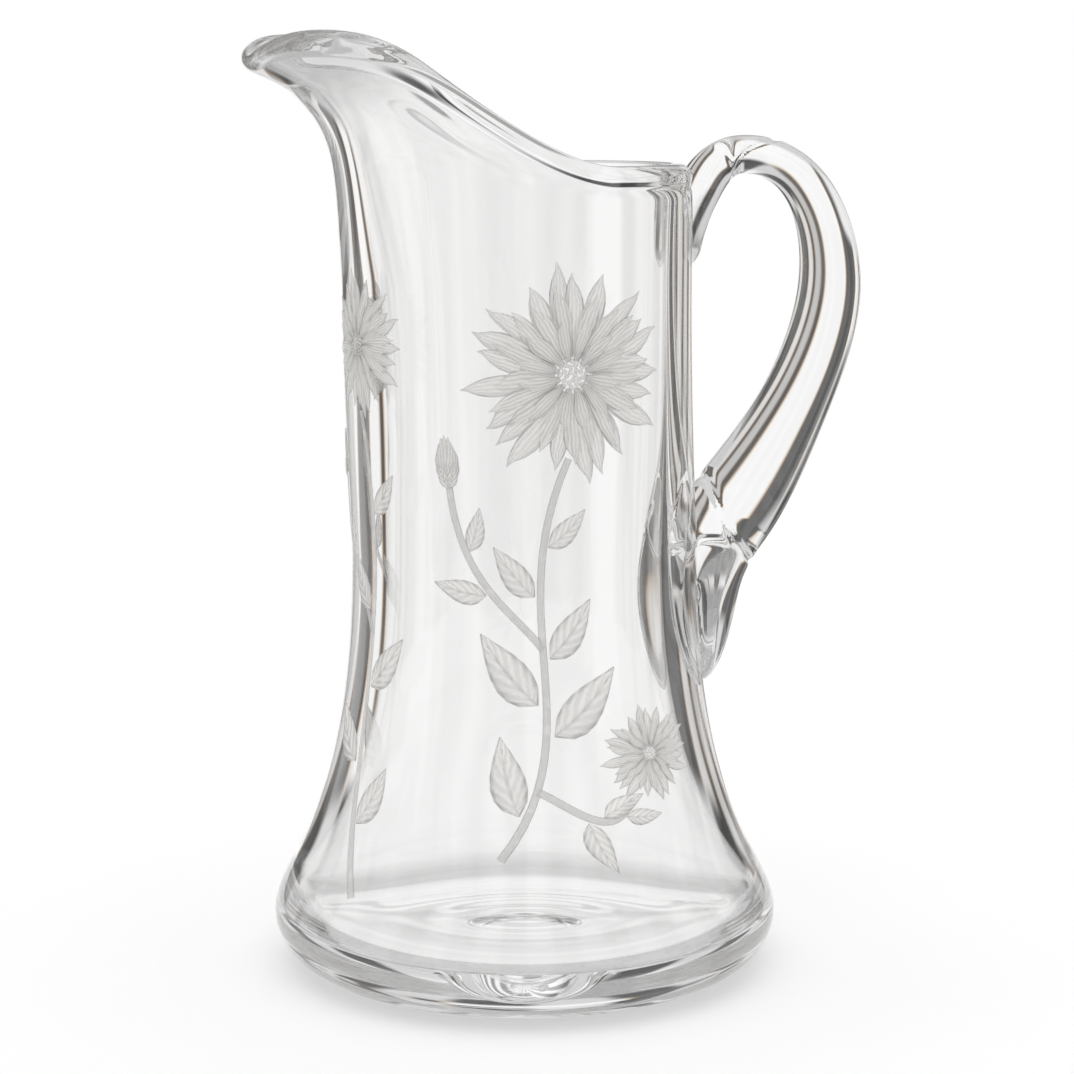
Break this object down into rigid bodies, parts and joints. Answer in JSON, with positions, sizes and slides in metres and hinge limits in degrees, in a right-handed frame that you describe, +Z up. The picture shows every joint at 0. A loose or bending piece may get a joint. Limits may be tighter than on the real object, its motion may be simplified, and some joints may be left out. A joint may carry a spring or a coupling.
{
  "type": "glass cocktail pitcher",
  "caption": "Heavy clear-glass pitcher for mixing and pouring drinks: flared foot, straight neck, pulled spout, applied loop handle and an engraved spray of flowers.",
  "frame": {"origin": "on the body's axis, on the table plane that the foot's flat ring stands on", "axes": "+Z up along the body's axis, +X towards the handle, -X towards the spout, the XZ plane is the plane of symmetry"},
  "size_m": [0.1758, 0.143, 0.2612],
  "materials": {
    "glass": "polished",
    "handle_glass": "polished",
    "engraving": "frosted"
  },
  "bodies": {
    "root": {"body": "glass", "handle": "handle_glass"}
  },
  "joints": []
}
